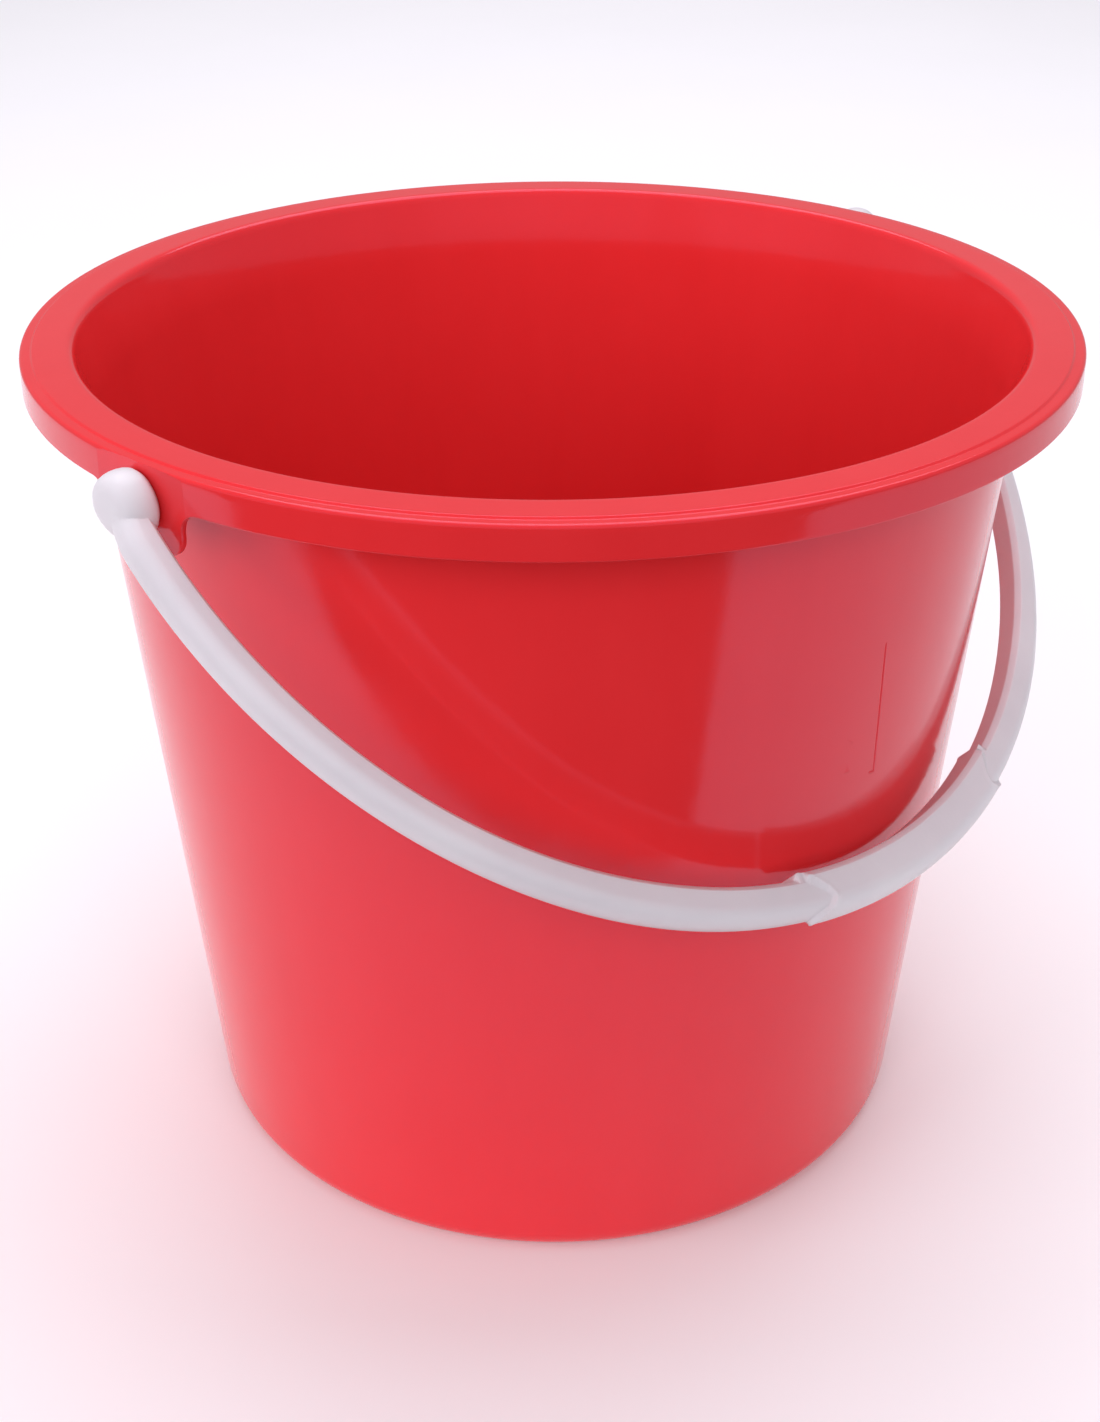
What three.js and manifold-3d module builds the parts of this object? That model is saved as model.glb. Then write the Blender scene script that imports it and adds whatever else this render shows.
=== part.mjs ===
// Open-topped bucket with a swinging bail handle.
// Millimetres, +Z up.  Origin: centre of the resting circle under the base.
// The bail's pivot axis lies along X, and at rest the bail hangs down in front (-Y).
import * as THREE from 'three';
import * as BufferGeometryUtils from 'three/addons/utils/BufferGeometryUtils.js';
import Module from 'manifold-3d';

// ---------------------------------------------------------------- dimensions
const SEGMENTS = 72;            // facets around the bucket

const HEIGHT = 253.0;           // base to rim top
const RIM_R = 150.0;            // outer radius of the rim's skirt
const SKIRT_BOTTOM_Z = 243.2;   // lower edge of the skirt
const SKIRT_T = 2.0;            // skirt wall
const TOP_FLAT_OUTER_R = 146.6; // rim's flat top, outer edge
const TOP_FLAT_INNER_R = 137.0; // rim's flat top, inner edge
const LIP_R = 134.7;            // inner edge of the rim's rounded lip
const RIM_T = 2.5;              // rim's top panel

const WALL_R0 = 111.8;          // wall's outer radius carried down to z = 0
const WALL_SLOPE = 21.9 / 243;  // radius gained per mm of height
const WALL_T = 2.0;             // wall thickness
const BASE_CORNER_R = 8.0;      // rounding between wall and base
const FLOOR_T = 2.4;            // base panel thickness
const FOOT_H = 3.0;             // base panel stands this far above the foot ring
const FOOT_INNER_R = 97.5;      // inner edge of the foot ring

const PIVOT_Z = 243.6;          // height of the bail's pivot axis
const LUG_HALF_W = 16.4;        // pivot lug: half width of its flat pad on the skirt
const LUG_TONGUE_HALF_W = 14.0; // half width of its tongue below the skirt
const LUG_BOTTOM_Z = 230.0;     // lower end of the tongue
const LUG_OUTER_X = 149.1;      // flat outer face, a chord across the skirt
const LUG_INNER_X = 147.0;      // flat inner face
const LUG_FILLET_R = 6.2;       // concave fillet between tongue and skirt edge
const HOLE_R = 4.4;             // pivot hole in the lug

const BAIL_A = 157.0;           // bail centreline: half width of its ellipse
const BAIL_B = 159.2;           // and its depth
const BAIL_C = 18.4;            // ellipse centre, below the pivot axis
const BAIL_W = 10.6;            // section across the bail's plane
const BAIL_T = 10.4;            // section in the bail's plane
const BAIL_CORNER = 4.0;
const GRIP_HALF_L = 48.4;       // hand grip in the middle, half length along the arc
const GRIP_W = 12.2;
const GRIP_T = 13.0;
const GRIP_CORNER = 5.2;
const BAIL_DROP_DEG = 41.6;     // bail's plane below the horizontal at rest

const KNOB_R = 8.0;             // end bosses of the bail
const KNOB_X0 = 149.45;         // inner face of a boss
const KNOB_X1 = 159.2;          // crown of a boss
const PEG_R = 4.0;              // peg through the lug
const PEG_HEAD_R = 5.3;         // snap head behind the lug
const PEG_HEAD_X = 146.6;       // snap head's retaining face
const ARM_CLEAR_X = 150.6;       // the arms' inner side stays outside this near the rim
const PEG_END_X = 143.2;

// ------------------------------------------------------------------- solids
const wasm = await Module();
wasm.setup();

function solid(geometry) {
  let g = geometry.clone();
  g.deleteAttribute('normal');
  g.deleteAttribute('uv');
  g = BufferGeometryUtils.mergeVertices(g, 1e-4);
  const p = g.attributes.position;
  const tri = [];
  for (let i = 0; i < g.index.count; i += 3) {
    const [a, b, c] = [g.index.getX(i), g.index.getX(i + 1), g.index.getX(i + 2)];
    if (a !== b && b !== c && a !== c) tri.push(a, b, c);
  }
  const volume = (t) => {
    let v = 0;
    const A = new THREE.Vector3(), B = new THREE.Vector3(), C = new THREE.Vector3();
    for (let i = 0; i < t.length; i += 3) {
      A.fromBufferAttribute(p, t[i]);
      B.fromBufferAttribute(p, t[i + 1]);
      C.fromBufferAttribute(p, t[i + 2]);
      v += A.dot(B.cross(C)) / 6;
    }
    return v;
  };
  if (volume(tri) < 0) for (let i = 0; i < tri.length; i += 3) [tri[i], tri[i + 1]] = [tri[i + 1], tri[i]];
  return new wasm.Manifold(new wasm.Mesh({
    numProp: 3,
    vertProperties: new Float32Array(p.array),
    triVerts: new Uint32Array(tri),
  }));
}

function geometryOf(manifold) {
  const m = manifold.getMesh();
  const g = new THREE.BufferGeometry();
  g.setAttribute('position', new THREE.BufferAttribute(new Float32Array(m.vertProperties), 3));
  g.setIndex(new THREE.BufferAttribute(new Uint32Array(m.triVerts), 1));
  g.computeVertexNormals();
  return g;
}

const V2 = (x, y) => new THREE.Vector2(x, y);
const deg = THREE.MathUtils.degToRad;

// A profile of (radius, height) turned about the Z axis.
function turned(profile, segments = SEGMENTS) {
  const g = new THREE.LatheGeometry(profile, segments);
  g.rotateX(Math.PI / 2);
  return g;
}

// Points of an arc, centre (cx, cy), from a0 to a1 degrees, both ends included.
function arc(cx, cy, r, a0, a1, n) {
  const pts = [];
  for (let i = 0; i <= n; i++) {
    const a = deg(a0 + ((a1 - a0) * i) / n);
    pts.push(V2(cx + r * Math.cos(a), cy + r * Math.sin(a)));
  }
  return pts;
}

// -------------------------------------------------------------- bucket body
const wallR = (z) => WALL_R0 + WALL_SLOPE * z;
const tilt = THREE.MathUtils.radToDeg(Math.atan(WALL_SLOPE));

// Rounding tangent to the resting plane and to the sloping wall.
function cornerCentre(r, z0, offset) {
  // centre at height z0 + r whose distance to the (offset) wall line is r
  const z = z0 + r;
  return [wallR(z) - offset - r / Math.cos(Math.atan(WALL_SLOPE)), z];
}
const [ocx, ocz] = cornerCentre(BASE_CORNER_R, 0, 0);
const floorZ = FOOT_H + FLOOR_T;
const inR = BASE_CORNER_R + 1.0;
const [icx, icz] = cornerCentre(inR, floorZ, WALL_T);

const profile = [
  V2(0, FOOT_H),
  V2(FOOT_INNER_R - 1.5, FOOT_H),
  V2(FOOT_INNER_R, 0),
  ...arc(ocx, ocz, BASE_CORNER_R, -90, -tilt, 5),
  V2(wallR(241), 241),
  V2(wallR(241) + 1.2, 246.2),
  V2(wallR(241) + 3.4, 249.4),
  V2(wallR(241) + 5.6, HEIGHT - RIM_T),
  V2(RIM_R - SKIRT_T - 1.2, HEIGHT - RIM_T),
  V2(RIM_R - SKIRT_T, HEIGHT - RIM_T - 1.2),
  V2(RIM_R - SKIRT_T, SKIRT_BOTTOM_Z),
  V2(RIM_R - 0.5, SKIRT_BOTTOM_Z),
  V2(RIM_R, SKIRT_BOTTOM_Z + 0.6),
  V2(RIM_R, HEIGHT - 3.2),
  V2(RIM_R - 0.7, HEIGHT - 1.5),
  V2(RIM_R - 2.3, HEIGHT - 0.7),
  V2(TOP_FLAT_OUTER_R, HEIGHT - 0.5),
  V2(TOP_FLAT_OUTER_R - 0.5, HEIGHT),
  V2(TOP_FLAT_INNER_R, HEIGHT),
  V2(LIP_R + 0.9, HEIGHT - 0.7),
  V2(LIP_R, HEIGHT - 2.4),
  V2(wallR(244.5) - WALL_T + 0.7, 244.5),
  V2(wallR(237) - WALL_T, 237),
  ...arc(icx, icz, inR, -tilt, -90, 4),
  V2(0, floorZ),
];
let body = solid(turned(profile));

// Pivot lugs: the skirt carries on down as a flat tongue with concave fillets.
function lugShape() {
  const s = new THREE.Shape();
  const top = HEIGHT - RIM_T + 0.6;
  const t = LUG_TONGUE_HALF_W;
  const f = LUG_FILLET_R;
  const z = SKIRT_BOTTOM_Z + 0.3;
  s.moveTo(-LUG_HALF_W - 3.6, top);
  s.lineTo(-t - f, z + 0.4);
  s.lineTo(-t - f, z);
  s.absarc(-t - f, z - f, f, Math.PI / 2, 0, true);
  s.lineTo(-t, LUG_BOTTOM_Z + 6);
  s.absarc(-t + 6, LUG_BOTTOM_Z + 6, 6, Math.PI, 1.5 * Math.PI, false);
  s.lineTo(t - 6, LUG_BOTTOM_Z);
  s.absarc(t - 6, LUG_BOTTOM_Z + 6, 6, 1.5 * Math.PI, 2 * Math.PI, false);
  s.lineTo(t, z - f);
  s.absarc(t + f, z - f, f, Math.PI, Math.PI / 2, true);
  s.lineTo(t + f, z + 0.4);
  s.lineTo(LUG_HALF_W + 3.6, top);
  s.closePath();
  return s;
}
// Extrude along +X: shape x -> Y, shape y -> Z.
const alongX = new THREE.Matrix4().makeBasis(
  new THREE.Vector3(0, 1, 0), new THREE.Vector3(0, 0, 1), new THREE.Vector3(1, 0, 0));
const lugTrim = solid(turned([
  V2(0, LUG_BOTTOM_Z - 5), V2(RIM_R + 0.6, LUG_BOTTOM_Z - 5), V2(RIM_R + 0.6, HEIGHT + 1), V2(0, HEIGHT + 1),
], 160));
function cylinderX(r, x0, x1, z, n = 24) {
  const g = new THREE.CylinderGeometry(r, r, x1 - x0, n);
  g.rotateZ(-Math.PI / 2);
  g.translate((x0 + x1) / 2, 0, z);
  return g;
}
for (const side of [1, -1]) {
  const g = new THREE.ExtrudeGeometry(lugShape(), {
    depth: LUG_OUTER_X - LUG_INNER_X, bevelEnabled: false, curveSegments: 5,
  });
  g.applyMatrix4(alongX);
  g.translate(LUG_INNER_X, 0, 0);
  if (side < 0) g.rotateZ(Math.PI);
  body = body.add(solid(g).intersect(lugTrim));
  const pad = new THREE.BoxGeometry(6, 60, HEIGHT - 0.75 - (LUG_BOTTOM_Z - 4));
  pad.translate(side * (LUG_OUTER_X + 3), 0, (HEIGHT - 0.75 + LUG_BOTTOM_Z - 4) / 2);
  body = body.subtract(solid(pad));
  const x0 = side > 0 ? LUG_INNER_X - 2 : -RIM_R - 3;
  body = body.subtract(solid(cylinderX(HOLE_R, x0, x0 + RIM_R + 5 - LUG_INNER_X, PIVOT_Z)));
}

// -------------------------------------------------------------- bail handle
// Drawn in its own plane: x across the bucket, y away from the pivot axis.
class BailCurve extends THREE.Curve {
  constructor(t0, t1) { super(); this.t0 = t0; this.t1 = t1; }
  getPoint(u, target = new THREE.Vector3()) {
    const t = this.t0 + (this.t1 - this.t0) * u;
    return target.set(BAIL_A * Math.cos(t), BAIL_C + BAIL_B * Math.sin(t), 0);
  }
}
function roundedSection(w, t, r) {
  const s = new THREE.Shape();
  const a = w / 2, b = t / 2;
  s.moveTo(a - r, -b);
  s.absarc(a - r, -b + r, r, -Math.PI / 2, 0, false);
  s.absarc(a - r, b - r, r, 0, Math.PI / 2, false);
  s.absarc(-a + r, b - r, r, Math.PI / 2, Math.PI, false);
  s.absarc(-a + r, -b + r, r, Math.PI, 1.5 * Math.PI, false);
  return s;
}
function swept(curve, w, t, r, steps) {
  return new THREE.ExtrudeGeometry(roundedSection(w, t, r), {
    steps, extrudePath: curve, curveSegments: 2, bevelEnabled: false,
  });
}
const tEnd = Math.asin(-BAIL_C / BAIL_B);            // where the arc meets the pivot axis
const arms = solid(swept(new BailCurve(tEnd + 0.02, Math.PI - tEnd - 0.02), BAIL_W, BAIL_T, BAIL_CORNER, 42));
const gripHalfAngle = GRIP_HALF_L / BAIL_A;
const grip = solid(swept(
  new BailCurve(Math.PI / 2 - gripHalfAngle, Math.PI / 2 + gripHalfAngle), GRIP_W, GRIP_T, GRIP_CORNER, 12));
let bail = arms.add(grip);

// Keep the arm ends clear of the rim, then add boss, peg and snap head.
const shave = new THREE.BoxGeometry(2 * ARM_CLEAR_X, 40, 40);
shave.translate(0, 12 - 20, 0);
bail = bail.subtract(solid(shave));
for (const side of [1, -1]) {
  const end = turned([
    V2(0, PEG_END_X), V2(PEG_R - 0.6, PEG_END_X), V2(PEG_HEAD_R, PEG_HEAD_X - 0.8),
    V2(PEG_HEAD_R, PEG_HEAD_X), V2(PEG_R, PEG_HEAD_X), V2(PEG_R, KNOB_X0),
    V2(KNOB_R - 1.6, KNOB_X0), V2(KNOB_R - 0.5, KNOB_X0 + 1.3), V2(KNOB_R, KNOB_X0 + 3.6), V2(KNOB_R - 0.2, KNOB_X1 - 3.0),
    V2(KNOB_R - 1.1, KNOB_X1 - 1.4), V2(KNOB_R - 2.8, KNOB_X1 - 0.4), V2(KNOB_R - 4.8, KNOB_X1),
    V2(0, KNOB_X1),
  ], 24);
  end.rotateY(side * Math.PI / 2);                   // turning axis onto +-X
  bail = bail.add(solid(end));
}

// ------------------------------------------------------------------- object
const bodyMaterial = new THREE.MeshStandardMaterial({ color: 0xd6293a, roughness: 0.22, metalness: 0 });
const bailMaterial = new THREE.MeshStandardMaterial({ color: 0xe6e0e6, roughness: 0.4, metalness: 0 });

const bucketBody = new THREE.Mesh(geometryOf(body), bodyMaterial);
bucketBody.name = 'bucket_body';

const bailHandle = new THREE.Mesh(geometryOf(bail), bailMaterial);
bailHandle.name = 'bail_handle';

// Bail plane at rest: its +y runs forward and down from the pivot axis.
const drop = deg(BAIL_DROP_DEG);
const hang = new THREE.Group();
hang.matrixAutoUpdate = true;
hang.position.set(0, 0, PIVOT_Z);
hang.quaternion.setFromRotationMatrix(new THREE.Matrix4().makeBasis(
  new THREE.Vector3(1, 0, 0),
  new THREE.Vector3(0, -Math.cos(drop), -Math.sin(drop)),
  new THREE.Vector3(0, Math.sin(drop), -Math.cos(drop))));
hang.add(bailHandle);

const bucket = new THREE.Group();
bucket.name = 'bucket';
bucket.add(bucketBody, hang);

export default bucket;
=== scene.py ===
"""Blender look of a red plastic household bucket with a white swinging bail.

Row frame: metres, +Z up, +X across the bail pivots, the bucket stands on z = 0.
Two pieces: the moulded bucket shell and the moulded bail handle.
"""
import math

import bmesh
import bpy
import numpy as np
from mathutils import Matrix, Vector


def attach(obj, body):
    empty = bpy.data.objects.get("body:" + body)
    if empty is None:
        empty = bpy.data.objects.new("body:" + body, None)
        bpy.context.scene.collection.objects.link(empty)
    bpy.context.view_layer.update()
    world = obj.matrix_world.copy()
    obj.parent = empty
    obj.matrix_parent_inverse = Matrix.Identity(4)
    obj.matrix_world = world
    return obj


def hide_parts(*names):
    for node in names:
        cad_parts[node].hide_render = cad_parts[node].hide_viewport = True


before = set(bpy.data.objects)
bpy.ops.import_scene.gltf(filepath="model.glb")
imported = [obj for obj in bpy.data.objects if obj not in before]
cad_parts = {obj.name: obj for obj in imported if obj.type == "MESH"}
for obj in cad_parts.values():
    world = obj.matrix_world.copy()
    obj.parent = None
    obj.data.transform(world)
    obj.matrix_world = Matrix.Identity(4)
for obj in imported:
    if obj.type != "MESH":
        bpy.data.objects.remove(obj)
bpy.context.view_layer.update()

MM = 0.001
scene = bpy.context.scene

# ---------------------------------------------------------------- camera ----
# Fitted to the photograph's outline: 27.6 degrees above the horizon, 0.64 m away.
CAM_AZ = math.radians(-48.05)      # angle of the camera's plan direction from -Y, towards -X
CAM_EL = math.radians(27.62)
CAM_DIST = 0.639
CAM_TARGET = Vector((0.0, 0.0, 0.1408))
CAM_ROLL = -0.0047
FOCAL_PX = 2038.5
IMAGE_W, IMAGE_H = 1100.0, 1422.0
CENTRE_PX = (554.1, 657.3)

plan = Vector((math.sin(CAM_AZ), -math.cos(CAM_AZ), 0.0))
position = CAM_TARGET + CAM_DIST * (math.cos(CAM_EL) * plan + math.sin(CAM_EL) * Vector((0, 0, 1)))
camera_data = bpy.data.cameras.new("camera")
camera = bpy.data.objects.new("camera", camera_data)
scene.collection.objects.link(camera)
camera.location = position
look = (CAM_TARGET - position).to_track_quat("-Z", "Y")
camera.rotation_euler = (look.to_matrix() @ Matrix.Rotation(CAM_ROLL, 3, "Z")).to_euler()
camera_data.sensor_fit = "AUTO"
camera_data.sensor_width = 36.0
camera_data.lens = FOCAL_PX * 36.0 / IMAGE_H
camera_data.shift_x = (IMAGE_W / 2 - CENTRE_PX[0]) / IMAGE_H
camera_data.shift_y = (CENTRE_PX[1] - IMAGE_H / 2) / IMAGE_H
camera_data.clip_start = 0.01
camera_data.clip_end = 60.0
scene.camera = camera

# Plan directions seen from the camera: SIDE points to the right of the picture, AWAY from the camera.
AWAY = -plan
SIDE = Vector((AWAY.y, -AWAY.x, 0.0))


def place(side, away, up):
    """A point given across, away from the camera and up, in metres, in the row frame."""
    return SIDE * side + AWAY * away + Vector((0, 0, up))


# ------------------------------------------------------- mesh from a grid ----
def mesh_object(name, verts, faces, smooth=True):
    mesh = bpy.data.meshes.new(name)
    mesh.from_pydata([tuple(v) for v in verts], [], faces)
    mesh.validate()
    mesh.update()
    obj = bpy.data.objects.new(name, mesh)
    scene.collection.objects.link(obj)
    if smooth:
        mesh.polygons.foreach_set("use_smooth", [True] * len(mesh.polygons))
    return obj


def recalc(obj):
    bm = bmesh.new()
    bm.from_mesh(obj.data)
    bmesh.ops.recalc_face_normals(bm, faces=bm.faces)
    bm.to_mesh(obj.data)
    bm.free()
    obj.data.update()


def arc(cx, cz, radius, a0, a1, n):
    """Points on a circle in the (r, z) plane, both ends included, angles in degrees."""
    return [
        (cx + radius * math.cos(math.radians(a0 + (a1 - a0) * i / n)),
         cz + radius * math.sin(math.radians(a0 + (a1 - a0) * i / n)))
        for i in range(n + 1)
    ]


def fillet(points, radii, n=6):
    """A polyline with each inner corner i rounded to radii[i], in the (r, z) plane."""
    out = [points[0]]
    for i in range(1, len(points) - 1):
        p, q, s = (np.array(points[i - 1]), np.array(points[i]), np.array(points[i + 1]))
        u, v = p - q, s - q
        lu, lv = np.linalg.norm(u), np.linalg.norm(v)
        u, v = u / lu, v / lv
        half = math.acos(max(-1.0, min(1.0, float(u @ v)))) / 2
        rad = radii[i]
        if rad <= 0 or half > math.pi / 2 - 1e-3:
            out.append(tuple(q))
            continue
        t = min(rad / math.tan(half), 0.48 * lu, 0.48 * lv)
        rad = t * math.tan(half)
        centre = q + (u + v) / np.linalg.norm(u + v) * (rad / math.sin(half))
        a = q + u * t - centre
        b = q + v * t - centre
        a0, b0 = math.atan2(a[1], a[0]), math.atan2(b[1], b[0])
        d = (b0 - a0 + math.pi) % (2 * math.pi) - math.pi
        for k in range(n + 1):
            ang = a0 + d * k / n
            out.append((centre[0] + rad * math.cos(ang), centre[1] + rad * math.sin(ang)))
    out.append(points[-1])
    return out


# ------------------------------------------------------------ bucket shell ----
HEIGHT = 253.0
WALL_R0, WALL_SLOPE, WALL_T = 111.8, 21.9 / 243.0, 2.0
PIVOT_Z = 243.6
SKIRT_BOTTOM_Z = 243.2
SKIRT_IN_R = 148.1
LUG_TONGUE_HALF_W, LUG_HALF_W = 14.0, 16.4
LUG_BOTTOM_Z, LUG_FILLET_R, LUG_CORNER_R = 230.0, 6.2, 6.0
LUG_OUTER_X, LUG_INNER_X = 149.1, 147.2
LUG_EDGE_Y = LUG_TONGUE_HALF_W + LUG_FILLET_R
HOLE_R = 4.4


def wall_r(z):
    return WALL_R0 + WALL_SLOPE * z


def lug_edge():
    """Half of the lug's lower edge, from its middle to where the plain skirt begins:
    a list of (y at the top, y at the edge, z at the edge, outward normal in the y-z plane)."""
    pts = []
    flat = LUG_TONGUE_HALF_W - LUG_CORNER_R
    for i in range(9):
        pts.append((flat * i / 8, LUG_BOTTOM_Z, (0.0, -1.0)))
    for i in range(1, 17):
        a = math.radians(90 * i / 16)
        pts.append((flat + LUG_CORNER_R * math.sin(a), LUG_BOTTOM_Z + LUG_CORNER_R * (1 - math.cos(a)),
                    (math.sin(a), -math.cos(a))))
    z0 = LUG_BOTTOM_Z + LUG_CORNER_R
    z1 = SKIRT_BOTTOM_Z - LUG_FILLET_R
    for i in range(1, 4):
        pts.append((LUG_TONGUE_HALF_W, z0 + (z1 - z0) * i / 3, (1.0, 0.0)))
    step = math.acos((LUG_EDGE_Y - LUG_HALF_W) / LUG_FILLET_R)
    n1 = 9
    for i in range(1, n1 + 1):
        a = step * i / n1
        pts.append((LUG_EDGE_Y - LUG_FILLET_R * math.cos(a), z1 + LUG_FILLET_R * math.sin(a),
                    (math.cos(a), -math.sin(a))))
    inner = pts[:]
    length = [0.0]
    for p, q in zip(inner[8:-1], inner[9:]):
        length.append(length[-1] + math.hypot(q[0] - p[0], q[1] - p[1]))
    out = [(p[0], p[0], p[1], p[2]) for p in inner[:8]]
    for p, s in zip(inner[8:], length):
        # the lines that run down to the rounded corner and fillet fan out from the band above it
        out.append((flat + (LUG_HALF_W - flat) * s / length[-1], p[0], p[1], p[2]))
    n2 = 14
    a_end = math.pi / 2
    for i in range(1, n2 + 1):
        y = LUG_HALF_W + (LUG_EDGE_Y - LUG_HALF_W) * (i / n2) ** 1.15
        a = math.acos(min(1.0, (LUG_EDGE_Y - y) / LUG_FILLET_R))
        out.append((y, y, z1 + LUG_FILLET_R * math.sin(a), (math.cos(a), -math.sin(a))))
    out[-1] = (LUG_EDGE_Y, LUG_EDGE_Y, SKIRT_BOTTOM_Z, (0.0, -1.0))
    return out


def smooth01(t):
    t = max(0.0, min(1.0, t))
    return t * t * (3 - 2 * t)


def pad_x(y):
    """The skirt's outer face beside the pivots: the round rim, cut by the lug pad's flat."""
    return min(LUG_OUTER_X, math.sqrt(150.0 ** 2 - y * y))


def inner_x(y):
    return min(LUG_INNER_X, math.sqrt(SKIRT_IN_R ** 2 - y * y))


def bezier(p0, p1, p2, p3, n):
    """Points of a cubic curve after its first, in the (r, z) plane."""
    out = []
    for i in range(1, n + 1):
        t = i / n
        u = 1 - t
        out.append(tuple(u ** 3 * a + 3 * u * u * t * b + 3 * u * t * t * c + t ** 3 * d
                         for a, b, c, d in zip(p0, p1, p2, p3)))
    return out


def wall_ripple(phi, z):
    """The slight unevenness of a moulded wall, in mm: it makes reflections wander."""
    fade = smooth01((z - 12.0) / 30.0) * smooth01((240.0 - z) / 25.0)
    r = 0.035 * math.sin(2 * phi + 0.6) * math.sin(z / 61.0 + 0.4)
    r += 0.020 * math.sin(5 * phi + 1.9 + z / 90.0)
    r += 0.012 * math.sin(9 * phi - z / 38.0 + 0.3) * math.sin(z / 27.0)
    return fade * r


def build_shell():
    # columns: (angle, lug data or None)
    edge = lug_edge()
    columns = []

    def lug_columns(side):
        # ordered by increasing angle
        half = edge[1:]
        ordered = [(-a, -b, c, (-n[0], n[1])) for a, b, c, n in reversed(half)] + [edge[0]] + half
        cols = []
        for yt, yb, zb, n in ordered:
            ang = math.asin(yt / 150.0)
            cols.append((ang if side > 0 else math.pi + ang, (side, yt, yb, zb, n)))
        return cols

    right = lug_columns(+1)          # around angle 0; y grows with the angle
    left = lug_columns(-1)
    # on the left side the angle grows as y falls
    left = [(a, (s, -yt, -yb, zb, (-n[0], n[1]))) for a, (s, yt, yb, zb, n) in left]
    a_end = right[-1][0]
    gap = math.pi - 2 * a_end
    n_gap = 216
    columns += right
    columns += [(a_end + gap * i / n_gap, None) for i in range(1, n_gap)]
    columns += left
    columns += [(math.pi + a_end + gap * i / n_gap, None) for i in range(1, n_gap)]

    # the outer side, from the middle of the underside to the top of the skirt's outer face
    foot_in = 97.5
    corner_c = (104.49, 8.0)
    under = [(r, 3.0) for r in (4.5, 8, 14, 22, 30, 40, 50, 60, 70, 80, 88, 92, 94.4)]
    under += fillet([(95.2, 3.0), (96.4, 3.0), (97.3, 0.0), (99.5, 0.0)], [0, 0.8, 0.5, 0], 4)
    under += [(100.5, 0.0), (102.0, 0.0), (103.4, 0.0)]
    tangent = math.degrees(math.atan(WALL_SLOPE))
    corner = arc(corner_c[0], corner_c[1], 8.0, -90, -tangent, 14)
    z_top_corner = corner[-1][1]
    wall = [(None, z) for z in np.concatenate([
        [z_top_corner + 0.6, z_top_corner + 1.6, z_top_corner + 3.5],
        np.linspace(z_top_corner + 7, 236, 60),
        [238.5, 240.0]])]
    w241 = wall_r(241.0)
    neck = fillet([(wall_r(240.5), 240.5), (w241, 241.0), (w241 + 1.2, 246.2), (w241 + 3.4, 249.4),
                   (w241 + 5.6, 250.5), (146.9, 250.5), (SKIRT_IN_R, 249.3), (SKIRT_IN_R, 248.6)],
                  [0, 3.0, 3.0, 3.0, 2.0, 1.2, 0.6, 0], 4)
    # rim top
    top = fillet([(150.0, 249.85), (150.0, 252.35), (146.95, 252.42), (146.4, 253.0), (144.6, 253.0)],
                 [0, 1.1, 0.45, 0.4, 0], 6)
    top += [(143.0, 253.0), (141.0, 253.0), (139.4, 253.0)]
    lip = [(138.2, 253.0), (137.3, 253.0)]
    lip += bezier((137.3, 253.0), (135.75, 253.0), (135.12, 251.75), (134.75, 250.4), 9)
    lip += bezier((134.75, 250.4), (133.75, 246.6), (131.4, 239.4), (wall_r(232.0) - WALL_T, 232.0), 18)
    in_c = (wall_r(0) - WALL_T - 9.0 / math.cos(math.radians(tangent)) + WALL_SLOPE * 14.4, 14.4)
    in_corner = arc(in_c[0], in_c[1], 9.0, -tangent, -90, 14)
    inner_wall = [(None, z) for z in np.concatenate([
        np.linspace(230, in_corner[0][1] + 7, 60),
        [in_corner[0][1] + 3.5, in_corner[0][1] + 1.6, in_corner[0][1] + 0.6]])]
    floor = [(r, 5.4) for r in (in_c[0] - 0.8, in_c[0] - 2.0, 96, 90, 80, 70, 60, 50, 40, 30, 22, 16, 11, 7.0, 3.5)]

    verts = []
    rows = []        # each row is a list of vertex indices, one per column

    def add_row(fn):
        row = []
        for ang, lug in columns:
            row.append(len(verts))
            verts.append(fn(ang, lug))
        rows.append(row)

    def ring(r, z):
        add_row(lambda ang, lug: (r * math.cos(ang), r * math.sin(ang), z))

    def wall_row(z, offset):
        def fn(ang, lug):
            r = wall_r(z) + offset + wall_ripple(ang, z)
            return (r * math.cos(ang), r * math.sin(ang), z)
        add_row(fn)

    # gate mark: a small raised disc with a cut stub, in the middle of the underside
    gate_z = [(0.9, 2.15), (1.5, 2.2), (1.75, 2.45), (1.8, 2.75), (2.1, 2.98)]
    bottom_centre = len(verts)
    verts.append((0, 0, 2.15))
    for r, z in gate_z:
        ring(r, z)
    for r, z in under:
        ring(r, z)
    for r, z in corner:
        ring(r, z)
    for _, z in wall:
        wall_row(z, 0.0)
    for r, z in neck:
        ring(r, z)

    # inner face of the skirt and of the lug
    z_in_top, z_in_end = 248.6, SKIRT_BOTTOM_Z + 0.4

    def skirt_inner(t):
        def fn(ang, lug):
            if lug is None:
                z = z_in_top + (z_in_end - z_in_top) * t
                return (SKIRT_IN_R * math.cos(ang), SKIRT_IN_R * math.sin(ang), z)
            side, yt, yb, zb, n = lug
            ye, ze = yb - 0.4 * n[0], zb - 0.4 * n[1]
            y = yt * (SKIRT_IN_R / 150.0) * (1 - t) + ye * t
            z = z_in_top + (ze - z_in_top) * t
            x = inner_x(y)
            k = smooth01(t * 3.0)
            x = math.sqrt(SKIRT_IN_R ** 2 - y * y) * (1 - k) + x * k
            return (side * x, y, z)
        return fn

    for t in (0.12, 0.25, 0.4, 0.55, 0.7, 0.85, 1.0):
        add_row(skirt_inner(t))

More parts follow.
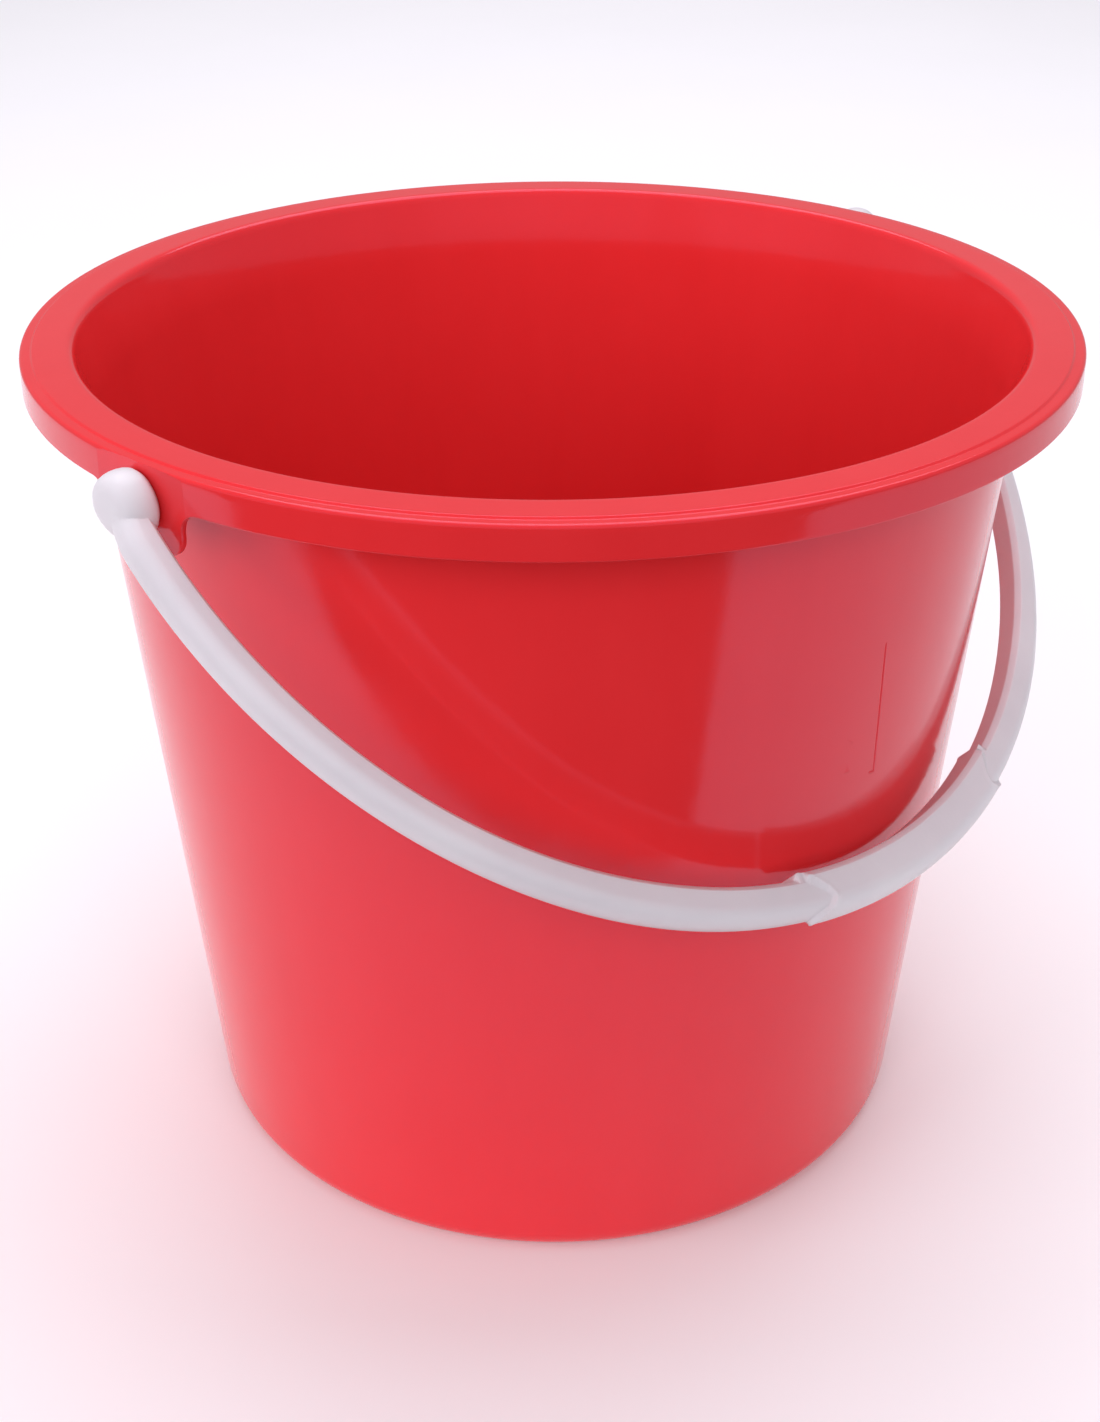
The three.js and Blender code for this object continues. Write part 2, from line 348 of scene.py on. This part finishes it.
    # lower edge, rounded on both sides
    def skirt_edge(inset, depth, outer):
        def fn(ang, lug):
            if lug is None:
                r = (150.0 - depth) if outer else (SKIRT_IN_R + depth)
                return (r * math.cos(ang), r * math.sin(ang), SKIRT_BOTTOM_Z + inset)
            side, yt, yb, zb, n = lug
            y, z = yb - inset * n[0], zb - inset * n[1]
            x = (pad_x(y) - depth) if outer else (inner_x(y) + depth)
            return (side * x, y, z)
        return fn

    add_row(skirt_edge(0.10, 0.10, False))
    add_row(skirt_edge(0.0, 0.30, False))
    add_row(skirt_edge(0.0, 0.36, True))
    add_row(skirt_edge(0.04, 0.20, True))
    add_row(skirt_edge(0.12, 0.07, True))
    add_row(skirt_edge(0.24, 0.01, True))
    add_row(skirt_edge(0.42, 0.0, True))

    z_out_top = 249.8

    def skirt_outer(t):
        def fn(ang, lug):
            z0 = SKIRT_BOTTOM_Z + 0.42
            if lug is None:
                z = z0 + (z_out_top - z0) * t
                return (150.0 * math.cos(ang), 150.0 * math.sin(ang), z)
            side, yt, yb, zb, n = lug
            ys, zs = yb - 0.42 * n[0], zb - 0.42 * n[1]
            y = ys + (yt - ys) * smooth01(t * 1.25)
            z = zs + (z_out_top - zs) * t
            return (side * pad_x(y), y, z)
        return fn

    for t in (0.1, 0.22, 0.34, 0.46, 0.58, 0.7, 0.78, 0.85, 0.9, 0.94, 0.975, 1.0):
        add_row(skirt_outer(t))
    for r, z in top:
        def fn(ang, lug, r=r, z=z):
            x = r * math.cos(ang)
            return (max(-LUG_OUTER_X, min(LUG_OUTER_X, x)), r * math.sin(ang), z)
        add_row(fn)
    for r, z in lip:
        ring(r, z)
    for _, z in inner_wall:
        wall_row(z, -WALL_T)
    for r, z in in_corner:
        ring(r, z)
    for r, z in floor:
        ring(r, z)
    top_centre = len(verts)
    verts.append((0, 0, 5.4))

    faces = []
    n = len(columns)
    for a, b in zip(rows[:-1], rows[1:]):
        for j in range(n):
            k = (j + 1) % n
            faces.append((a[j], a[k], b[k], b[j]))
    for j in range(n):
        k = (j + 1) % n
        faces.append((bottom_centre, rows[0][k], rows[0][j]))
        faces.append((top_centre, rows[-1][j], rows[-1][k]))
    shell = mesh_object("bucket_shell", np.array(verts) * MM, faces)
    recalc(shell)
    return shell


def lathe_x(name, profile, segments, side, centre_z):
    """A closed solid of revolution about the pivot axis, from (x, radius) points, for one side of the bucket."""
    verts, faces, rings = [], [], []
    for x, r in profile:
        if r < 1e-6:
            rings.append([len(verts)])
            verts.append((side * x, 0, centre_z))
        else:
            ring_ids = []
            for j in range(segments):
                a = 2 * math.pi * (j + 0.5) / segments
                ring_ids.append(len(verts))
                verts.append((side * x, r * math.cos(a), centre_z + r * math.sin(a)))
            rings.append(ring_ids)
    for a, b in zip(rings[:-1], rings[1:]):
        if len(a) == 1:
            faces += [(a[0], b[j], b[(j + 1) % segments]) for j in range(segments)]
        elif len(b) == 1:
            faces += [(a[j], b[0], a[(j + 1) % segments]) for j in range(segments)]
        else:
            faces += [(a[j], b[j], b[(j + 1) % segments], a[(j + 1) % segments]) for j in range(segments)]
    obj = mesh_object(name, np.array(verts) * MM, faces)
    recalc(obj)
    return obj


def boolean(target, cutter, operation):
    mod = target.modifiers.new("join", "BOOLEAN")
    mod.operation = operation
    mod.solver = "EXACT"
    mod.object = cutter
    depsgraph = bpy.context.evaluated_depsgraph_get()
    mesh = bpy.data.meshes.new_from_object(target.evaluated_get(depsgraph))
    old = target.data
    target.modifiers.clear()
    target.data = mesh
    mesh.name = old.name
    bpy.data.meshes.remove(old)
    tool = cutter.data
    bpy.data.objects.remove(cutter)
    bpy.data.meshes.remove(tool)
    return target


def tidy(obj, angle=34.0):
    """Welds doubles, then splits the shading only at real edges."""
    bm = bmesh.new()
    bm.from_mesh(obj.data)
    bmesh.ops.remove_doubles(bm, verts=bm.verts, dist=1e-6)
    bmesh.ops.dissolve_degenerate(bm, edges=bm.edges, dist=1e-7)
    bmesh.ops.recalc_face_normals(bm, faces=bm.faces)
    bm.to_mesh(obj.data)
    bm.free()
    obj.data.polygons.foreach_set("use_smooth", [True] * len(obj.data.polygons))
    obj.data.set_sharp_from_angle(angle=math.radians(angle))
    obj.data.update()


shell = build_shell()
for side in (1, -1):
    hole = lathe_x("hole", [(140.0, 0), (140.0, 5.6), (146.95, 4.75), (147.35, HOLE_R), (148.75, HOLE_R), (149.15, 4.8), (152.0, 5.6), (152.0, 0)],
                   64, side, PIVOT_Z)
    boolean(shell, hole, "DIFFERENCE")


def wall_ridge(name, path, width, proud):
    """A raised moulded line on the wall, as a closed strip along (x, y, z) points, sunk 0.5 mm into the wall."""
    points = []
    for (x0, y0, z0), (x1, y1, z1) in zip(path[:-1], path[1:]):
        a0, a1 = math.atan2(y0, x0), math.atan2(y1, x1)
        n = max(2, int(math.hypot(120 * (a1 - a0), z1 - z0) / 1.2))
        points += [(a0 + (a1 - a0) * i / n, z0 + (z1 - z0) * i / n) for i in range(n)]
    points.append((math.atan2(path[-1][1], path[-1][0]), path[-1][2]))
    profile = [(-0.5, -0.5), (-0.5, 0.0), (-0.38, 0.45), (-0.2, 0.85), (0.0, 1.0), (0.2, 0.85), (0.38, 0.45), (0.5, 0.0), (0.5, -0.5)]
    verts, faces = [], []
    pos = [np.array([wall_r(z) * math.cos(a), wall_r(z) * math.sin(a), z]) for a, z in points]
    for i, (a, z) in enumerate(points):
        out = np.array([math.cos(a), math.sin(a), -WALL_SLOPE])
        out /= np.linalg.norm(out)
        along = pos[min(i + 1, len(pos) - 1)] - pos[max(i - 1, 0)]
        along /= np.linalg.norm(along)
        across = np.cross(out, along)
        base = pos[i] + out * wall_ripple(a, z)
        end = 1.0 if 0 < i < len(points) - 1 else 0.35
        for u, v in profile:
            verts.append(base + across * (u * width * (1.0 if end == 1.0 else 0.6)) + out * (v * proud * end if v > 0 else v))
    m = len(profile)
    for i in range(len(points) - 1):
        for j in range(m):
            k = (j + 1) % m
            faces.append((i * m + j, i * m + k, (i + 1) * m + k, (i + 1) * m + j))
    faces.append(tuple(range(m)))
    faces.append(tuple((len(points) - 1) * m + j for j in reversed(range(m))))
    strip = mesh_object(name, np.array(verts) * MM, faces)
    recalc(strip)
    return strip


# the fill scale in front: one long raised line with a hooked foot, and two short strokes beside it
boolean(shell, wall_ridge("scale_line", [(-14.1, -128.6, 195.1), (-10.0, -125.2, 153.3), (-12.1, -125.1, 153.6)], 0.95, 0.26), "UNION")
boolean(shell, wall_ridge("scale_stroke", [(-23.0, -124.3, 168.4), (-20.9, -124.6, 166.6)], 0.6, 0.10), "UNION")
boolean(shell, wall_ridge("scale_stroke", [(-22.8, -124.1, 157.9), (-20.7, -124.4, 157.7)], 0.6, 0.10), "UNION")
tidy(shell)

# ------------------------------------------------------------- bail handle ----
BAIL_A, BAIL_B, BAIL_C = 157.0, 159.2, 18.4
DROP = math.radians(41.6)
DOWN = np.array([0.0, -math.cos(DROP), -math.sin(DROP)])       # in the bail's plane, away from the pivots
ACROSS = np.array([0.0, -math.sin(DROP), math.cos(DROP)])      # the bail plane's normal, on its upper side
ORIGIN = np.array([0.0, 0.0, PIVOT_Z])
GRIP_HALF = 48.4
ARM_HALF_W = 5.0
GRIP_IN, GRIP_OUT, GRIP_HALF_W = 6.2, 6.8, 6.1
KNOB_PROFILE = [(149.45, 0.0), (149.45, 6.0), (149.6, 6.5), (150.8, 7.5), (151.9, 7.85), (153.4, 8.0), (155.0, 7.97), (156.3, 7.75),
                (157.6, 7.3), (158.6, 6.6), (159.3, 5.6), (159.75, 4.5), (160.0, 3.0), (160.05, 1.5), (160.05, 0.0)]
# how far the grip's edge runs into the grip, from the section's inner side (0) to its outer side (1)
STEP_AT = [0.0, 0.10, 0.25, 0.45, 0.65, 0.85, 1.0]
STEP_IN = [0.0, 2.0, 5.0, 8.0, 9.6, 7.6, 2.7]


def section(inner, outer, half_w):
    """The bail's section as (outward, upward) points: flat top and underside, a crisp bevel
    on the inner edges, and a rounded outer side."""
    pts = []
    cut = 1.4

    def round_corner(cx, cy, r, a0, a1, n):
        for k in range(n + 1):
            a = math.radians(a0 + (a1 - a0) * k / n)
            pts.append((cx + r * math.cos(a), cy + r * math.sin(a)))

    rx = 0.86 * half_w
    cx = outer - rx
    x0 = -inner + cut + 0.5
    half = [(-inner, half_w * 0.4)]
    pts[:] = []
    round_corner(-inner + 0.5, half_w - cut - 0.35, 0.5, 180, 138, 3)
    round_corner(-inner + cut + 0.35, half_w - 0.5, 0.5, 132, 90, 3)
    half += pts
    half += [(x0 + (cx - x0) * k / 9, half_w) for k in range(1, 10)]
    for k in range(1, 17):
        a = math.radians(90 - 90 * k / 16)
        half.append((cx + rx * math.cos(a) ** 0.94, half_w * math.sin(a) ** 0.94 if k < 16 else 0.0))
    low = [(a, -b) for a, b in reversed(half[:-1])]
    return np.array([(-inner, 0.0)] + half + low)


def build_bail():
    t0 = math.asin(-BAIL_C / BAIL_B)
    # stations by arc length
    ts = np.linspace(t0, math.pi - t0, 6001)
    px, py = BAIL_A * np.cos(ts), BAIL_C + BAIL_B * np.sin(ts)
    s = np.concatenate([[0], np.cumsum(np.hypot(np.diff(px), np.diff(py)))])
    total = s[-1]
    mid = total / 2
    edge = mid - GRIP_HALF
    stations = list(np.linspace(0.0, 24.0, 31)) + list(np.linspace(24.8, edge - 2.4, 170))
    stations += list(np.linspace(edge - 2.1, edge + 14.6, 76))
    stations += list(np.linspace(edge + 15.4, mid, 40))
    stations = np.array(stations)
    stations = np.concatenate([stations, (total - stations[:-1])[::-1]])
    tt = np.interp(stations, s, ts)
    verts, faces = [], []
    n_sec = 0
    for st, t in zip(stations, tt):
        c = np.array([BAIL_A * math.cos(t), BAIL_C + BAIL_B * math.sin(t)])
        tangent = np.array([-BAIL_A * math.sin(t), BAIL_B * math.cos(t)])
        tangent /= np.linalg.norm(tangent)
        out = np.array([tangent[1], -tangent[0]])          # away from the inside of the loop
        if out @ (c - np.array([0.0, BAIL_C])) < 0:
            out = -out
        e = min(st, total - st)                            # distance from the nearer end
        k = smooth01((abs(c[0]) - 80.0) / 60.0)
        i = 4.8 - 1.0 * k
        o = 5.6 - 0.45 * k
        h = ARM_HALF_W
        # towards the pivots the arm slims down on its outer side, so that the boss stands proud,
        # and its inner face stays clear of the rim
        taper = smooth01(e / 13.0)
        o = 3.2 + (o - 3.2) * taper
        h = 4.9 + (h - 4.9) * taper
        if e < 20:
            i = min(i, (abs(c[0]) - 150.62) / max(0.2, abs(out[0])))
        arm_pts = section(i, o, h)
        grip_pts = section(GRIP_IN, GRIP_OUT, GRIP_HALF_W)
        swell = section(i + 1.0, o + 1.0, h + 1.0) - arm_pts
        w = (arm_pts[:, 0] + i) / (i + o)
        u = abs(st - mid) - (GRIP_HALF - np.interp(w, STEP_AT, STEP_IN))
        g = np.clip(1.0 - (u + 0.5) / 1.0, 0.0, 1.0)
        g = (g * g * (3 - 2 * g))[:, None]
        ridge = 0.17 * np.exp(-((u + 0.9) / 0.8) ** 2)[:, None]
        pts = arm_pts + (grip_pts - arm_pts) * g + swell * ridge
        n_sec = len(pts)
        for a, b in pts:
            p = c + out * a
            verts.append(ORIGIN + np.array([p[0], 0, 0]) + DOWN * p[1] + ACROSS * b)
    m = len(stations)
    for k in range(m - 1):
        for j in range(n_sec):
            l = (j + 1) % n_sec
            faces.append((k * n_sec + j, k * n_sec + l, (k + 1) * n_sec + l, (k + 1) * n_sec + j))
    faces.append(tuple(range(n_sec)))
    faces.append(tuple((m - 1) * n_sec + j for j in reversed(range(n_sec))))
    arm = mesh_object("bail", np.array(verts) * MM, faces)
    recalc(arm)
    for side in (1, -1):
        boss = lathe_x("knob", KNOB_PROFILE, 72, side, PIVOT_Z)
        for v in boss.data.vertices:
            # the boss is drawn out towards the arm, like a drop
            along = float((np.array(v.co) / MM - ORIGIN) @ DOWN)
            if along > 0:
                v.co = Vector(np.array(v.co) + DOWN * along * 0.26 * MM)
        boolean(arm, boss, "UNION")
        peg = [(143.2, 0.0), (143.2, 3.0), (143.6, 3.7), (146.1, 5.15), (146.5, 5.3), (146.8, 5.2), (146.9, 4.9), (146.9, 4.0), (148.0, 4.0),
               (150.2, 4.0), (151.5, 4.0), (151.5, 0.0)]
        boolean(arm, lathe_x("peg", peg, 48, side, PIVOT_Z), "UNION")
    tidy(arm, 40.0)
    return arm


bail = build_bail()


# --------------------------------------------------------------- materials ----
def new_material(name):
    mat = bpy.data.materials.new(name)
    mat.use_nodes = True
    tree = mat.node_tree
    tree.nodes.clear()
    out = tree.nodes.new("ShaderNodeOutputMaterial")
    bsdf = tree.nodes.new("ShaderNodeBsdfPrincipled")
    tree.links.new(bsdf.outputs["BSDF"], out.inputs["Surface"])
    return mat, tree, bsdf


def noise(tree, coord, scale, detail=2.0, rough=0.5, distortion=0.0):
    n = tree.nodes.new("ShaderNodeTexNoise")
    n.inputs["Scale"].default_value = scale
    n.inputs["Detail"].default_value = detail
    n.inputs["Roughness"].default_value = rough
    n.inputs["Distortion"].default_value = distortion
    tree.links.new(coord, n.inputs["Vector"])
    return n.outputs["Fac"]


def ramp(tree, value, stops):
    r = tree.nodes.new("ShaderNodeValToRGB")
    els = r.color_ramp.elements
    while len(els) < len(stops):
        els.new(0.5)
    for el, (pos, col) in zip(els, stops):
        el.position = pos
        el.color = (*col, 1.0) if len(col) == 3 else col
    tree.links.new(value, r.inputs["Fac"])
    return r.outputs["Color"]


def map_range(tree, value, a, b, c, d):
    m = tree.nodes.new("ShaderNodeMapRange")
    for key, v in (("From Min", a), ("From Max", b), ("To Min", c), ("To Max", d)):
        m.inputs[key].default_value = v
    tree.links.new(value, m.inputs["Value"])
    return m.outputs["Result"]


def math_node(tree, op, a, b):
    m = tree.nodes.new("ShaderNodeMath")
    m.operation = op
    for i, v in enumerate((a, b)):
        if isinstance(v, (int, float)):
            m.inputs[i].default_value = v
        else:
            tree.links.new(v, m.inputs[i])
    return m.outputs["Value"]


def mapping(tree, coord, scale):
    m = tree.nodes.new("ShaderNodeMapping")
    m.inputs["Scale"].default_value = scale
    tree.links.new(coord, m.inputs["Vector"])
    return m.outputs["Vector"]


def bump(tree, height, strength, distance, normal=None):
    b = tree.nodes.new("ShaderNodeBump")
    b.inputs["Strength"].default_value = strength
    b.inputs["Distance"].default_value = distance
    tree.links.new(height, b.inputs["Height"])
    if normal is not None:
        tree.links.new(normal, b.inputs["Normal"])
    return b.outputs["Normal"]


def red_plastic():
    mat, tree, bsdf = new_material("red_plastic_look")
    coord = tree.nodes.new("ShaderNodeTexCoord").outputs["Object"]
    cloud = noise(tree, coord, 9.0, 3.0, 0.55)
    streak = noise(tree, mapping(tree, coord, (1.0, 1.0, 0.25)), 38.0, 4.0, 0.6, 0.4)
    base = ramp(tree, math_node(tree, "ADD", math_node(tree, "MULTIPLY", cloud, 0.6), math_node(tree, "MULTIPLY", streak, 0.4)),
                [(0.30, (0.760, 0.026, 0.0290)), (0.55, (0.790, 0.030, 0.0335)), (0.75, (0.815, 0.034, 0.0370))])
    tree.links.new(base, bsdf.inputs["Base Color"])
    fine = noise(tree, coord, 900.0, 2.0, 0.5)
    smear = noise(tree, coord, 26.0, 5.0, 0.6, 0.8)
    scuffs = noise(tree, mapping(tree, coord, (60.0, 60.0, 900.0)), 1.6, 2.0, 0.5)
    rough = map_range(tree, smear, 0.25, 0.75, 0.075, 0.15)
    rough = math_node(tree, "ADD", rough, map_range(tree, scuffs, 0.66, 0.80, 0.0, 0.10))
    rough = math_node(tree, "ADD", rough, map_range(tree, fine, 0.3, 0.7, -0.01, 0.02))
    tree.links.new(rough, bsdf.inputs["Roughness"])
    n1 = bump(tree, noise(tree, coord, 11.0, 2.0, 0.5), 0.10, 0.004)
    n2 = bump(tree, noise(tree, coord, 120.0, 3.0, 0.55), 0.035, 0.001, n1)
    n3 = bump(tree, fine, 0.03, 0.0003, n2)
    tree.links.new(n3, bsdf.inputs["Normal"])
    bsdf.inputs["IOR"].default_value = 1.49
    bsdf.inputs["Specular IOR Level"].default_value = 0.5
    bsdf.inputs["Specular Tint"].default_value = (0.36, 0.68, 1.0, 1.0)
    bsdf.inputs["Subsurface Weight"].default_value = 0.06
    bsdf.inputs["Subsurface Radius"].default_value = (1.0, 0.15, 0.1)
    bsdf.inputs["Subsurface Scale"].default_value = 0.003
    return mat


def white_plastic():
    mat, tree, bsdf = new_material("white_plastic_look")
    coord = tree.nodes.new("ShaderNodeTexCoord").outputs["Object"]
    cloud = noise(tree, coord, 30.0, 3.0, 0.55)
    base = ramp(tree, cloud, [(0.30, (0.690, 0.665, 0.685)), (0.5, (0.720, 0.695, 0.715)), (0.72, (0.745, 0.725, 0.740))])
    tree.links.new(base, bsdf.inputs["Base Color"])
    fine = noise(tree, coord, 1100.0, 2.0, 0.5)
    smear = noise(tree, coord, 60.0, 4.0, 0.6, 0.5)
    rough = math_node(tree, "ADD", map_range(tree, smear, 0.3, 0.7, 0.30, 0.42), map_range(tree, fine, 0.3, 0.7, -0.02, 0.02))
    tree.links.new(rough, bsdf.inputs["Roughness"])
    n1 = bump(tree, noise(tree, coord, 70.0, 3.0, 0.5), 0.10, 0.0015)
    n2 = bump(tree, fine, 0.08, 0.0003, n1)
    tree.links.new(n2, bsdf.inputs["Normal"])
    bsdf.inputs["IOR"].default_value = 1.49
    bsdf.inputs["Subsurface Weight"].default_value = 0.25
    bsdf.inputs["Subsurface Radius"].default_value = (1.0, 0.85, 0.9)
    bsdf.inputs["Subsurface Scale"].default_value = 0.003
    return mat


RED = red_plastic()
WHITE = white_plastic()
for obj, mat in ((shell, RED), (bail, WHITE)):
    obj.data.materials.clear()
    obj.data.materials.append(mat)

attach(shell, "bucket")
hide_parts("bucket_body")
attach(bail, "bail")
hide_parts("bail_handle")


# ------------------------------------------------------- floor and lighting ----
def stage_material(name, colour, rough, scale, spread):
    mat, tree, bsdf = new_material(name)
    coord = tree.nodes.new("ShaderNodeTexCoord").outputs["Object"]
    n = noise(tree, coord, scale, 3.0, 0.5)
    lo = tuple(c * (1 - spread) for c in colour)
    hi = tuple(min(1.0, c * (1 + spread)) for c in colour)
    tree.links.new(ramp(tree, n, [(0.35, lo), (0.65, hi)]), bsdf.inputs["Base Color"])
    bsdf.inputs["Roughness"].default_value = rough
    bsdf.inputs["Specular IOR Level"].default_value = 0.2
    return mat


def sheet_object(name, outline_pts, z, mat):
    verts = [tuple(place(s, a, z)) for s, a in outline_pts]
    obj = mesh_object(name, verts, [tuple(range(len(verts)))], smooth=False)
    if obj.data.polygons[0].normal.z < 0:
        obj.data.flip_normals()
    obj.data.materials.append(mat)
    return obj


PALE = stage_material("pale_paper", (0.965, 0.975, 0.97), 0.8, 6.0, 0.004)
front_edge = [(-1.20, -0.40), (-0.60, -0.33), (-0.422, -0.255), (-0.361, -0.267), (-0.293, -0.272), (-0.238, -0.279),
              (-0.191, -0.285), (-0.109, -0.290), (0.005, -0.285), (0.138, -0.245), (0.20, -0.30), (0.35, -0.42), (0.60, -0.50), (1.20, -0.52)]
sheet_object("floor", front_edge + [(4.5, 1.0), (4.5, 7.0), (-4.5, 7.0), (-4.5, 1.0)], -0.0003, PALE)
DARK = stage_material("dark_card", (0.020, 0.020, 0.022), 0.7, 4.0, 0.02)
sheet_object("ground", [(-6, -6), (6, -6), (6, 8), (-6, 8)], -0.012, DARK)


def area(name, size, energy, at, to, colour=(1, 1, 1), glossy=True):
    data = bpy.data.lights.new(name, "AREA")
    data.shape = "RECTANGLE"
    data.size, data.size_y = size
    data.energy = energy
    data.color = colour
    obj = bpy.data.objects.new(name, data)
    scene.collection.objects.link(obj)
    obj.location = at
    obj.rotation_euler = (to - at).to_track_quat("-Z", "Y").to_euler()
    obj.visible_glossy = glossy
    return obj


middle = Vector((0, 0, 0.12))
COOL = (0.97, 0.915, 1.0)
area("top_box", (2.0, 2.0), 29.0, place(0.1, 0.6, 2.0), middle, COOL)
# soft fills, seen by the surfaces' colour but not mirrored in them
area("left_fill", (1.4, 1.2), 15.0, place(-1.7, -0.9, 0.7), middle, COOL, glossy=False)
area("front_fill", (2.4, 1.6), 26.0, place(0.1, -2.0, 1.15), middle, COOL, glossy=False)
area("back_fill", (3.0, 2.0), 14.0, place(0.0, 2.6, 1.6), place(0.0, 3.0, 0.0), COOL, glossy=False)

world = bpy.data.worlds.new("studio")
scene.world = world
world.use_nodes = True
bg = world.node_tree.nodes["Background"]
bg.inputs["Color"].default_value = (0.97, 0.95, 1.0, 1.0)
bg.inputs["Strength"].default_value = 0.40

scene.view_settings.view_transform = "Standard"
scene.view_settings.look = "None"
scene.view_settings.exposure = 0.0
scene.view_settings.gamma = 1.0

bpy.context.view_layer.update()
